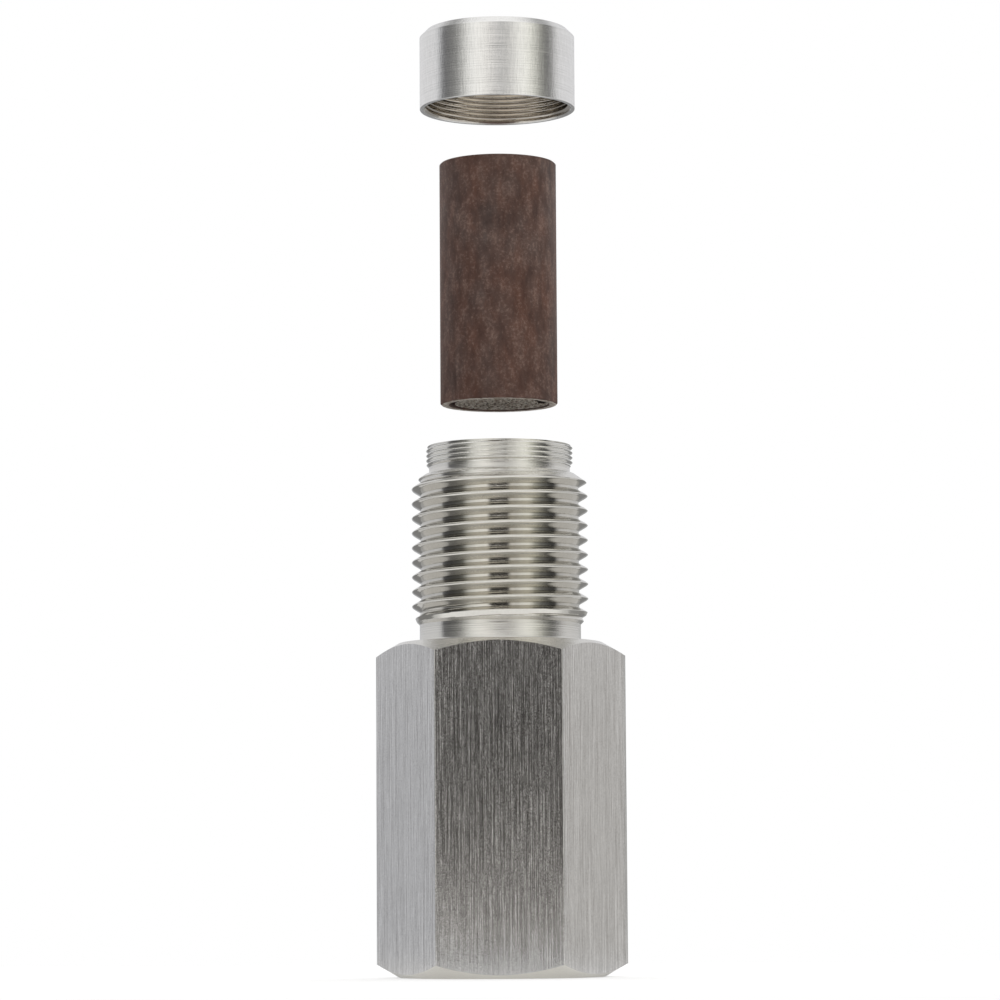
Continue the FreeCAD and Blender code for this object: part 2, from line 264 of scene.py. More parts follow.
# %% Steel finishes
BRUSH_SCRATCH_WIDTH = 0.1 * MM
BRUSH_SCRATCH_LENGTH = 10.0 * MM
GRAIN = 0.13 * MM
# Real feed marks are finer still. A tenth of a millimetre is one pixel, the least that shows.
FEED_MARK = 0.11 * MM


def new_material(name):
    """A material with one Principled shader. Returns the material, its tree and the shader."""
    material = bpy.data.materials.new(name)
    material.use_nodes = True
    tree = material.node_tree
    tree.nodes.clear()
    shader = add(tree, "ShaderNodeBsdfPrincipled")
    add(tree, "ShaderNodeOutputMaterial", {"Surface": shader})
    return material, tree, shader


def upright_noise(tree, place, width, length, detail):
    """Noise drawn out along the axis: narrow round the bar and long in Z."""
    scale = (1 / width, 1 / width, 1 / length)
    stretched = add(tree, "ShaderNodeMapping", {"Vector": place, "Scale": scale}, vector_type="POINT")
    return add(tree, "ShaderNodeTexNoise", {"Vector": stretched, "Scale": 1.0, "Detail": detail, "Roughness": 0.65})


def make_brushed_flats():
    """Drawn hexagon bar, brushed lengthwise: sharp bright scratches and pits on a smoother ground."""
    material, tree, shader = new_material("stainless_bar_brushed_lengthwise")
    place = add(tree, "ShaderNodeTexCoord").outputs["Object"]
    long_scratches = upright_noise(tree, place, BRUSH_SCRATCH_WIDTH, BRUSH_SCRATCH_LENGTH, 2.0)
    short_scratches = upright_noise(tree, place, BRUSH_SCRATCH_WIDTH, 0.15 * BRUSH_SCRATCH_LENGTH, 2.0)
    grain = add(tree, "ShaderNodeTexNoise", {"Vector": place, "Scale": 1 / GRAIN, "Detail": 2.0, "Roughness": 0.6})
    marks = add(tree, "ShaderNodeMath", {0: long_scratches, 1: 0.5}, operation="MULTIPLY")
    marks = add(tree, "ShaderNodeMath", {0: short_scratches, 1: 0.25, 2: marks}, operation="MULTIPLY_ADD")
    marks = add(tree, "ShaderNodeMath", {0: grain, 1: 0.25, 2: marks}, operation="MULTIPLY_ADD")
    contrast = add(tree, "ShaderNodeMapRange", {"Value": marks, "From Min": 0.36, "From Max": 0.64})
    tint = add(tree, "ShaderNodeMix", {"Factor": contrast, COLOUR_A: linear("#B4B2B0"), COLOUR_B: linear("#FFFEFD")},
               data_type="RGBA")
    tree.links.new(tint.outputs[COLOUR_MIX], shader.inputs["Base Color"])
    # A scratch or a pit is rough inside, so it gathers light from all round
    rough = add(tree, "ShaderNodeMapRange",
                {"Value": marks, "From Min": 0.46, "From Max": 0.66, "To Min": 0.13, "To Max": 0.24})
    tree.links.new(rough.outputs[0], shader.inputs["Roughness"])
    bump = add(tree, "ShaderNodeBump", {"Height": marks, "Strength": 0.8, "Distance": 0.0065 * MM})
    tree.links.new(bump.outputs[0], shader.inputs["Normal"])
    shader.inputs["Metallic"].default_value = 1.0
    return material


def make_turned_steel(name, colour, roughness, feed_height, scratch_height):
    """Turned steel: feed marks that run round the axis, on cylinders and on faces alike, and fine upright scratches."""
    material, tree, shader = new_material(name)
    place = add(tree, "ShaderNodeTexCoord").outputs["Object"]
    axes = add(tree, "ShaderNodeSeparateXYZ", {0: place})
    flat = add(tree, "ShaderNodeCombineXYZ", {"X": axes.outputs["X"], "Y": axes.outputs["Y"]})
    radius = add(tree, "ShaderNodeVectorMath", {0: flat}, operation="LENGTH").outputs["Value"]
    along = add(tree, "ShaderNodeMath", {0: radius, 1: axes.outputs["Z"]}, operation="ADD")
    across = add(tree, "ShaderNodeMath", {0: radius, 1: axes.outputs["Z"]}, operation="SUBTRACT")
    lathe_place = add(tree, "ShaderNodeCombineXYZ", {"X": along, "Y": across})
    marks = add(tree, "ShaderNodeTexNoise",
                {"Vector": lathe_place, "Scale": 1 / FEED_MARK, "Detail": 3.0, "Roughness": 0.7})
    scratches = upright_noise(tree, place, BRUSH_SCRATCH_WIDTH, 0.15 * BRUSH_SCRATCH_LENGTH, 2.0)
    scratch_share = add(tree, "ShaderNodeMath", {0: scratches, 1: scratch_height / feed_height}, operation="MULTIPLY")
    relief = add(tree, "ShaderNodeMath", {0: marks, 1: scratch_share}, operation="ADD")
    bump = add(tree, "ShaderNodeBump", {"Height": relief, "Strength": 0.8, "Distance": feed_height})
    tree.links.new(bump.outputs[0], shader.inputs["Normal"])
    tint = add(tree, "ShaderNodeMix", {"Factor": relief, COLOUR_A: linear(colour[0]), COLOUR_B: linear(colour[1])},
               data_type="RGBA")
    tree.links.new(tint.outputs[COLOUR_MIX], shader.inputs["Base Color"])
    shader.inputs["Roughness"].default_value = roughness
    shader.inputs["Metallic"].default_value = 1.0
    return material


def make_cut_thread(name, colour, roughness):
    """Steel cut by a thread tool: bright flanks with faint chatter, no feed marks."""
    material, tree, shader = new_material(name)
    place = add(tree, "ShaderNodeTexCoord").outputs["Object"]
    chatter = add(tree, "ShaderNodeTexNoise",
                  {"Vector": place, "Scale": 1 / (0.3 * MM), "Detail": 3.0, "Roughness": 0.7})
    tint = add(tree, "ShaderNodeMix", {"Factor": chatter, COLOUR_A: linear(colour[0]), COLOUR_B: linear(colour[1])},
               data_type="RGBA")
    tree.links.new(tint.outputs[COLOUR_MIX], shader.inputs["Base Color"])
    bump = add(tree, "ShaderNodeBump", {"Height": chatter, "Strength": 0.5, "Distance": 0.006 * MM})
    tree.links.new(bump.outputs[0], shader.inputs["Normal"])
    shader.inputs["Roughness"].default_value = roughness
    shader.inputs["Metallic"].default_value = 1.0
    return material


brushed_flats = make_brushed_flats()
turned_steel = make_turned_steel("stainless_turned", ("#D6D4CE", "#EFEDE8"), 0.1, 0.024 * MM, 0.004 * MM)
ring_steel = make_turned_steel("stainless_ring_fine_turned", ("#C4C3C0", "#F8F7F5"), 0.11, 0.018 * MM, 0.013 * MM)
thread_steel = make_cut_thread("stainless_thread_cut", ("#D2CFC8", "#E6E4DE"), 0.09)
nose_thread_steel = make_cut_thread("stainless_fine_thread_cut", ("#E6E5E0", "#F6F5F2"), 0.12)
ring_thread_steel = make_cut_thread("stainless_ring_thread_cut", ("#D0C9BF", "#EEE8DF"), 0.12)
steels = [brushed_flats, turned_steel, ring_steel, thread_steel, nose_thread_steel, ring_thread_steel]
print("steel finishes:", ", ".join(material.name for material in steels))

# %% [markdown]
# ## Lathe surfaces
#
# Away from the threads a turned piece is a stack of circles. A few short functions add a circle, skin two circles that
# have as many points, and stitch two that don't, which happens where the round neck meets the hexagon's face. The
# threads are joined in by merging the points that their end circles share with the stack.

# %% Lathe helpers
SEGMENTS = 144


def circle(radius, height):
    """Points round the axis at one height, in metres. Sizes are in millimetres."""
    angles = [math.tau * i / SEGMENTS for i in range(SEGMENTS)]
    return [Vector((radius * math.cos(a), radius * math.sin(a), height)) * MM for a in angles]


def arc(radius_centre, height_centre, size, start, end, steps=4):
    """Profile points (radius, height) along an arc, angles in degrees."""
    angles = [math.radians(start + (end - start) * i / steps) for i in range(steps + 1)]
    return [(radius_centre + size * math.cos(a), height_centre + size * math.sin(a)) for a in angles]


def skin(bm, lower, upper):
    """Quads between two closed rows with as many points."""
    for i in range(len(lower)):
        j = (i + 1) % len(lower)
        bm.faces.new((lower[i], lower[j], upper[j], upper[i]))


def stitch(bm, outer, inner):
    """Triangles between two closed rows that start at the same angle but differ in number."""
    def turned(row, i):
        return (math.atan2(row[i % len(row)].co.y, row[i % len(row)].co.x) % math.tau) + math.tau * (i // len(row))
    i, j = 0, 0
    while i < len(outer) or j < len(inner):
        a, b = outer[i % len(outer)], inner[j % len(inner)]
        if j >= len(inner) or (i < len(outer) and turned(outer, i + 1) <= turned(inner, j + 1)):
            bm.faces.new((a, outer[(i + 1) % len(outer)], b))
            i += 1
        else:
            bm.faces.new((a, inner[(j + 1) % len(inner)], b))
            j += 1


def lathe(bm, profile):
    """Skins circles along a profile of (radius, height) points, and returns the first and the last row."""
    rows = [[bm.verts.new(point) for point in circle(radius, height)] for radius, height in profile]
    for lower, upper in zip(rows, rows[1:]):
        skin(bm, lower, upper)
    return rows[0], rows[-1]


def add_part(bm, mesh, material_index):
    """Takes a mesh in, with all its faces on one of the object's materials."""
    known = len(bm.faces)
    bm.from_mesh(mesh)
    bm.faces.ensure_lookup_table()
    for face in bm.faces[known:]:
        face.material_index = material_index


def close_mesh(bm, name, materials, sharp_degrees=28):
    """Merges shared rows, points the faces outwards, marks sharp edges and makes the object."""
    bmesh.ops.remove_doubles(bm, verts=bm.verts, dist=0.001 * MM)
    bmesh.ops.recalc_face_normals(bm, faces=bm.faces)
    open_edges = sum(1 for edge in bm.edges if len(edge.link_faces) != 2)
    mesh = bpy.data.meshes.new(name)
    bm.to_mesh(mesh)
    bm.free()
    mesh.shade_smooth()
    mesh.set_sharp_from_angle(angle=math.radians(sharp_degrees))
    for material in materials:
        mesh.materials.append(material)
    made = bpy.data.objects.new(name, mesh)
    scene.collection.objects.link(made)
    print(f"{name}: {sum(len(p.vertices) - 2 for p in mesh.polygons)} triangles, {open_edges} edges not closed")
    return made


# %% [markdown]
# ## Threads and their sizes
#
# The large thread is M18 x 1.5, the size of every exhaust oxygen sensor, and the small one is M15 x 0.5. The radii and
# ends come from the frame's mounts and from the sizes given here. The ring's thread is the nose's own, drawn out by the
# ring's travel, so that its grooves take the nose's crests when the ring is screwed down.

# %% Sizes of the turned pieces, in millimetres
mounts = {mount["name"]: mount for mount in frame["record"]["mounts"]}
travel = -sum(joint["range_m"][0] for joint in frame["joints"]) / MM
HEX_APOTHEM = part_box("adapter_body")[1].y / MM
NOSE_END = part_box("adapter_body")[1].z / MM
RING_FOOT, RING_TOP = (corner.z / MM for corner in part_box("retaining_ring"))
RING_SEAT = RING_FOOT - travel
THREAD_CREST = mounts["bung_thread"]["dims"]["r_mm"]
SENSOR_BORE = mounts["sensor_thread"]["dims"]["r_mm"]

SHOULDER = 33.7
HEX_FACE_RADIUS = 10.4
HEX_CHAMFER = math.tan(math.radians(30))
HEX_CORNER_RADIUS = 0.12
NECK_RADIUS = 8.2
NECK_FILLET = 0.35
NECK_TOP = 35.6
THREAD_START = 35.9
THREAD_ROOT = 8.06
THREAD_FOOT_RADIUS = 8.5
THREAD_FOOT_SLOPE = 0.42
THREAD_FRONT_RADIUS = 7.7
THREAD_LEAD_SLOPE = 1 / math.tan(math.radians(35))
LEAD_HEIGHT = 0.8
THREAD_CREST_HEIGHT = 44.22
NOSE_RELIEF_RADIUS = 7.2
NOSE_FILLET = 0.2
NOSE_THREAD_START = 51.7
NOSE_CREST = 7.5
NOSE_CREST_HEIGHT = 53.17
NOSE_TOP_RADIUS = 7.3
CORE_BORE = 6.1
CORE_SEAT = 32.95
GAS_PASSAGE = 4.9
CHAMBER_TOP = 28.9
DRILL_CONE_FOOT = 26.92
SENSOR_THREAD_END = 16.0
SENSOR_MOUTH = 9.2
CORE_BORE_EDGE = 0.2
M18_PITCH, M15_PITCH = 1.5, 0.5
M18_ROWS, M15_ROWS, BORE_ROWS = 24, 16, 8
# Rounding of the crest and of the root, as shares of the flank
M18_ROUNDING, NOSE_ROUNDING, BORE_ROUNDING, RING_ROUNDING = (0.35, 0.03), (0.6, 0.3), (0.1, 0.1), (0.4, 0.1)
print(f"M18 thread from {THREAD_START} to {RING_SEAT:.2f} mm, nose thread from {NOSE_THREAD_START} mm")


def cut_thread(pitch, crest, root, crest_height, foot, top, rows, rounding, material):
    """A threaded tube as a mesh. An end is (height, radius, slope of its lead), rounding is (crest, root)."""
    (foot, foot_radius, foot_slope), (top, top_radius, top_slope) = foot, top
    return run_tree(thread_tree, {
        "Pitch": pitch * MM, "Crest Radius": crest * MM, "Root Radius": root * MM, "Crest Flat": pitch * MM / 10,
        "Crest Height": crest_height * MM, "Foot Height": foot * MM, "Foot Radius": foot_radius * MM,
        "Foot Slope": foot_slope, "Top Height": top * MM, "Top Radius": top_radius * MM, "Top Slope": top_slope,
        "Segments": SEGMENTS, "Rows per Turn": rows, "Crest Rounding": rounding[0],
        "Root Rounding": rounding[1], "Material": material,
    })


# %% [markdown]
# ## Adapter body
#
# On the lathe the bar's ends are chamfered at 30 degrees, which leaves the curved edge that every nut shows where the
# cone meets each flat. That edge isn't modelled with a boolean: each column of the hexagon simply ends where its own
# radius meets the cone. The corners keep the small radius of drawn bar, which catches a line of light.


# %% Hexagon outline
def hexagon_points(flat_steps=14, corner_steps=3):
    """(x, y) points of a hexagon with rounded corners, from the corner at angle zero."""
    points = []
    centre_distance = (HEX_APOTHEM - HEX_CORNER_RADIUS) / math.cos(math.pi / 6)
    half_flat = (HEX_APOTHEM - HEX_CORNER_RADIUS) * math.tan(math.pi / 6)
    for k in range(6):
        corner = k * math.pi / 3
        for i in range(corner_steps + 1):
            normal = corner + math.pi / 6 * (2 * i / corner_steps - 1)
            points.append((centre_distance * math.cos(corner) + HEX_CORNER_RADIUS * math.cos(normal),
                           centre_distance * math.sin(corner) + HEX_CORNER_RADIUS * math.sin(normal)))
        facing = corner + math.pi / 6
        for i in range(1, flat_steps):
            along = half_flat * (2 * i / flat_steps - 1)
            points.append((HEX_APOTHEM * math.cos(facing) - along * math.sin(facing),
                           HEX_APOTHEM * math.sin(facing) + along * math.cos(facing)))
    first = min(range(len(points)), key=lambda n: math.atan2(points[n][1], points[n][0]) % math.tau)
    return points[first:] + points[:first]


# %% Adapter body
def make_adapter_body():
    """One closed surface: up the outside, over the nose and down through the bore."""
    bm = bmesh.new()
    outline = hexagon_points()
    radii = [math.hypot(x, y) for x, y in outline]
    drops = [(radius - HEX_FACE_RADIUS) * HEX_CHAMFER for radius in radii]
    on_circle = [(x / r * HEX_FACE_RADIUS, y / r * HEX_FACE_RADIUS) for (x, y), r in zip(outline, radii)]
    rows = [
        [Vector((x, y, 0)) for x, y in on_circle],
        [Vector((x, y, drop)) for (x, y), drop in zip(outline, drops)],
        [Vector((x, y, SHOULDER - drop)) for (x, y), drop in zip(outline, drops)],
        [Vector((x, y, SHOULDER)) for x, y in on_circle],
    ]
    rows = [[bm.verts.new(point * MM) for point in row] for row in rows]
    skin(bm, rows[0], rows[1])
    flats_start = len(bm.faces)
    skin(bm, rows[1], rows[2])
    bm.faces.ensure_lookup_table()
    for face in bm.faces[flats_start:]:
        face.material_index = 1
    skin(bm, rows[2], rows[3])

    neck = arc(NECK_RADIUS + NECK_FILLET, SHOULDER + NECK_FILLET, NECK_FILLET, 270, 180)
    neck_foot, _ = lathe(bm, neck + [(NECK_RADIUS, NECK_TOP), (THREAD_FOOT_RADIUS, THREAD_START)])
    stitch(bm, rows[3], neck_foot)
    lathe(bm, [(THREAD_FRONT_RADIUS, RING_SEAT)]
          + arc(NOSE_RELIEF_RADIUS + NOSE_FILLET, RING_SEAT + NOSE_FILLET, NOSE_FILLET, 270, 180)
          + [(NOSE_RELIEF_RADIUS, NOSE_THREAD_START)])
    lathe(bm, [
        (NOSE_TOP_RADIUS, NOSE_END),
        (CORE_BORE + CORE_BORE_EDGE, NOSE_END),
        (CORE_BORE, NOSE_END - CORE_BORE_EDGE),
        (CORE_BORE, CORE_SEAT),
        (GAS_PASSAGE, CORE_SEAT),
        (GAS_PASSAGE, CHAMBER_TOP),
        (SENSOR_BORE, DRILL_CONE_FOOT),
        (SENSOR_BORE, SENSOR_THREAD_END),
    ])
    mouth = [bm.verts.new(point) for point in circle(SENSOR_MOUTH, 0.0)]
    stitch(bm, rows[0], mouth)

    threads = [
        cut_thread(M18_PITCH, THREAD_CREST, THREAD_ROOT, THREAD_CREST_HEIGHT,
                   (THREAD_START, THREAD_FOOT_RADIUS, THREAD_FOOT_SLOPE),
                   (RING_SEAT, THREAD_FRONT_RADIUS, THREAD_LEAD_SLOPE), M18_ROWS, M18_ROUNDING, thread_steel),
        cut_thread(M15_PITCH, NOSE_CREST, NOSE_RELIEF_RADIUS, NOSE_CREST_HEIGHT,
                   (NOSE_THREAD_START, NOSE_RELIEF_RADIUS, 1.0),
                   (NOSE_END, NOSE_TOP_RADIUS, 1.0), M15_ROWS, NOSE_ROUNDING, nose_thread_steel),
        cut_thread(M18_PITCH, SENSOR_BORE, THREAD_CREST, 0.0,
                   (0.0, SENSOR_MOUTH, 1.0),
                   (SENSOR_THREAD_END, SENSOR_BORE, 1.0), BORE_ROWS, BORE_ROUNDING, thread_steel),
    ]
    for mesh, material_index in zip(threads, (2, 3, 2)):
        add_part(bm, mesh, material_index)
    # The lead cone was turned before the thread was cut
    for face in bm.faces:
        middle = face.calc_center_median() / MM
        if face.material_index == 2 and middle.z > RING_SEAT - LEAD_HEIGHT:
            face.material_index = 0
    return close_mesh(bm, "adapter_body_turned", [turned_steel, brushed_flats, thread_steel, nose_thread_steel])


body = make_adapter_body()
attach(body, "adapter")
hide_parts("adapter_body")

# %% [markdown]
# ## Retaining ring
#
# A ring nut turned from bar: a plain outside with a 45 degree edge on top, a sharp thin rim below, and fine threads
# inside that the camera looks up into. Its lip is what holds the core down.

# %% Retaining ring
RING_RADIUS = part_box("retaining_ring")[1].x / MM
RING_EDGE = 0.7
RING_RIM = 0.05
RING_LEAD = 0.1
RING_BORE = 7.54
RING_THREAD_CREST = 7.23
RING_THREAD_END = RING_FOOT + 3.5
RING_LIP = 1.0
RING_CORE_ROOM = 6.5
RING_HOLE = 4.9
RING_HOLE_EDGE = 0.3


def make_retaining_ring():
    """One closed surface, from the rim up the outside and back down through the lip's hole."""
    bm = bmesh.new()
    lip = RING_TOP - RING_LIP
    lathe(bm, [
        (RING_BORE, RING_FOOT + RING_LEAD),
        (RING_BORE + RING_LEAD, RING_FOOT),
        (RING_RADIUS - RING_RIM, RING_FOOT),
        (RING_RADIUS, RING_FOOT + RING_RIM),
        (RING_RADIUS, RING_TOP - RING_EDGE),
        (RING_RADIUS - RING_EDGE, RING_TOP),
        (RING_HOLE + RING_HOLE_EDGE, RING_TOP),
        (RING_HOLE, RING_TOP - RING_HOLE_EDGE),
        (RING_HOLE, lip),
        (RING_CORE_ROOM, lip),
        (RING_CORE_ROOM, RING_THREAD_END + RING_BORE - RING_CORE_ROOM),
        (RING_BORE, RING_THREAD_END),
    ])
    inner_crest_height = NOSE_CREST_HEIGHT + M15_PITCH / 2 + travel
    inside = cut_thread(M15_PITCH, RING_THREAD_CREST, RING_BORE, inner_crest_height,
                        (RING_FOOT + RING_LEAD, RING_BORE, 1.0),
                        (RING_THREAD_END, RING_BORE, 1.0), M15_ROWS, RING_ROUNDING, ring_thread_steel)
    add_part(bm, inside, 1)
    return close_mesh(bm, "retaining_ring_turned", [ring_steel, ring_thread_steel])


ring = make_retaining_ring()
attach(ring, "ring")
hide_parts("retaining_ring")

# %% [markdown]
# ## Catalyst sleeve
#
# The core's sleeve is thin steel tube that has been through a furnace: the scale on it is matt, brown to purple grey,
# with rubbed patches and clusters of pale dust. The shape is a plain tube, so the work is in the material: noises at
# three sizes mix the scale's colours, and only the finest reaches the bump.

# %% Heat-scaled steel
def make_scaled_steel():
    """Furnace scale on steel: matt, mottled, with specks."""
    material, tree, shader = new_material("steel_furnace_scaled")
    place = add(tree, "ShaderNodeTexCoord").outputs["Object"]
    clouds = upright_noise(tree, place, 4.0 * MM, 9.0 * MM, 4.0)
    patches = upright_noise(tree, place, 1.2 * MM, 2.6 * MM, 6.0)
    grain = add(tree, "ShaderNodeTexNoise",
                {"Vector": place, "Scale": 1 / (0.3 * MM), "Detail": 3.0, "Roughness": 0.7})
    cloud_share = add(tree, "ShaderNodeMapRange", {"Value": clouds, "From Min": 0.34, "From Max": 0.66})
    patch_share = add(tree, "ShaderNodeMapRange", {"Value": patches, "From Min": 0.3, "From Max": 0.7})
    brown = add(tree, "ShaderNodeMix",
                {"Factor": patch_share, COLOUR_A: linear("#563D35"), COLOUR_B: linear("#7B594D")}, data_type="RGBA")
    grey = add(tree, "ShaderNodeMix",
               {"Factor": patch_share, COLOUR_A: linear("#4C3E3B"), COLOUR_B: linear("#6F5F5A")}, data_type="RGBA")
    scale = add(tree, "ShaderNodeMix",
                {"Factor": cloud_share, COLOUR_A: grey.outputs[COLOUR_MIX], COLOUR_B: brown.outputs[COLOUR_MIX]},
                data_type="RGBA")
    # Pale dust lies in clusters, where both the patches and the grain are high
    dusty = add(tree, "ShaderNodeMath", {0: patches, 1: 0.6, 2: grain}, operation="MULTIPLY_ADD")
    dust_share = add(tree, "ShaderNodeMapRange",
                     {"Value": dusty, "From Min": 0.8, "From Max": 1.1, "To Min": 0.0, "To Max": 0.6})
    dusted = add(tree, "ShaderNodeMix",
                 {"Factor": dust_share, COLOUR_A: scale.outputs[COLOUR_MIX], COLOUR_B: linear("#A0877C")},
                 data_type="RGBA")
    tree.links.new(dusted.outputs[COLOUR_MIX], shader.inputs["Base Color"])
    bump = add(tree, "ShaderNodeBump", {"Height": grain, "Strength": 0.5, "Distance": 0.03 * MM})
    tree.links.new(bump.outputs[0], shader.inputs["Normal"])
    shader.inputs["Roughness"].default_value = 0.62
    shader.inputs["Specular IOR Level"].default_value = 0.15
    # Loose dust on the scale is brighter where the tube turns away
    shader.inputs["Sheen Weight"].default_value = 0.14
    shader.inputs["Sheen Roughness"].default_value = 0.5
    shader.inputs["Sheen Tint"].default_value = linear("#F0D8CC")
    return material


scaled_steel = make_scaled_steel()
print("scale:", scaled_steel.name)

# %% [markdown]
# ## Ceramic washcoat
#
# The foil is dipped in a slurry of alumina that dries to a rough, stone-like skin and carries the catalyst. It is pale
# at the foil's ends and on the sleeve's rims, where it has dried as well. Inside the channels the colour holds painted
# shade: the renderer's own shadow leaves the channels too pale, so the material darkens by height, a little way in
# from each end.

# %% Ceramic washcoat
FOIL_FOOT, FOIL_TOP = (corner.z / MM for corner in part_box("catalyst_foil"))
# Painted shade: the washcoat stays pale within this many millimetres of each foil end and is fully dark from twice as
# far in
PAINTED_SHADE_DEPTH = 0.05


def make_washcoat():
    """Ceramic washcoat: rough, pale at the ends, darkened by painted shade inside the channels."""
    material, tree, shader = new_material("ceramic_washcoat")
    place = add(tree, "ShaderNodeTexCoord").outputs["Object"]
    dirt = add(tree, "ShaderNodeTexNoise",
               {"Vector": place, "Scale": 1 / (0.4 * MM), "Detail": 3.0, "Roughness": 0.7})
    dirt_share = add(tree, "ShaderNodeMapRange", {"Value": dirt, "From Min": 0.38, "From Max": 0.62})
    tint = add(tree, "ShaderNodeMix",
               {"Factor": dirt_share, COLOUR_A: linear("#A08D7D"), COLOUR_B: linear("#FFF8EE")}, data_type="RGBA")
    height = add(tree, "ShaderNodeSeparateXYZ", {0: place}).outputs["Z"]
    middle = add(tree, "ShaderNodeMath", {0: height, 1: (FOIL_FOOT + FOIL_TOP) / 2 * MM}, operation="SUBTRACT")
    from_middle = add(tree, "ShaderNodeMath", {0: middle}, operation="ABSOLUTE")
    half = (FOIL_TOP - FOIL_FOOT) / 2
    free_of_painted_shade = add(tree, "ShaderNodeMapRange",
               {"Value": from_middle, "From Min": (half - 2 * PAINTED_SHADE_DEPTH) * MM, "From Max": (half - PAINTED_SHADE_DEPTH) * MM})
    # Painted shade: away from the ends the colour turns to a dark brown that stands in for the shade inside the
    # channels
    coat = add(tree, "ShaderNodeMix",
               {"Factor": free_of_painted_shade, COLOUR_A: linear("#3A2E28"), COLOUR_B: tint.outputs[COLOUR_MIX]}, data_type="RGBA")
    tree.links.new(coat.outputs[COLOUR_MIX], shader.inputs["Base Color"])
    shader.inputs["Roughness"].default_value = 0.6
    return material


washcoat = make_washcoat()
print(f"washcoat bare to {PAINTED_SHADE_DEPTH} mm from the foil's ends")

# %% Catalyst sleeve
SLEEVE_FOOT, SLEEVE_TOP = (corner.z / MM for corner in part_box("catalyst_sleeve"))
SLEEVE_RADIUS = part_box("catalyst_sleeve")[1].x / MM
SLEEVE_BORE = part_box("catalyst_foil")[1].x / MM
SLEEVE_EDGE = 0.15


def make_sleeve():
    """A tube with broken edges, and washcoat on its end faces and edges."""
    bm = bmesh.new()
    outline = [
        (SLEEVE_BORE + SLEEVE_EDGE, SLEEVE_FOOT),
        (SLEEVE_RADIUS - SLEEVE_EDGE, SLEEVE_FOOT),
        (SLEEVE_RADIUS, SLEEVE_FOOT + SLEEVE_EDGE),
        (SLEEVE_RADIUS, SLEEVE_TOP - SLEEVE_EDGE),
        (SLEEVE_RADIUS - SLEEVE_EDGE, SLEEVE_TOP),
        (SLEEVE_BORE + SLEEVE_EDGE, SLEEVE_TOP),
        (SLEEVE_BORE, SLEEVE_TOP - SLEEVE_EDGE),
        (SLEEVE_BORE, SLEEVE_FOOT + SLEEVE_EDGE),
    ]
    lathe(bm, outline + outline[:1])
    for face in bm.faces:
        height = face.calc_center_median().z / MM
        if not SLEEVE_FOOT + SLEEVE_EDGE / 4 < height < SLEEVE_TOP - SLEEVE_EDGE / 4:
            face.material_index = 1
    return close_mesh(bm, "catalyst_sleeve_tube", [scaled_steel, washcoat], sharp_degrees=50)


sleeve = make_sleeve()
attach(sleeve, "core")
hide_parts("catalyst_sleeve")

# %% [markdown]
# ## Catalyst foil
#
# The foil is two strips wound together: a flat one, and a corrugated one that keeps the turns apart. Both follow one
# spiral, so each is a line of points placed by a rule and raised into a strip, and a Solidify modifier gives the
# strips their thickness.

# %% Geometry Nodes tree for a wound strip
STRIP_INPUTS = {
    "Outer Radius": "NodeSocketFloat",
    "Layer": "NodeSocketFloat",
    "Inset": "NodeSocketFloat",
    "Wave Height": "NodeSocketFloat",
    "Wave Length": "NodeSocketFloat",
    "Turns": "NodeSocketFloat",
    "Points": "NodeSocketInt",
    "Foot Height": "NodeSocketFloat",
    "Strip Height": "NodeSocketFloat",
    "Material": "NodeSocketMaterial",
}


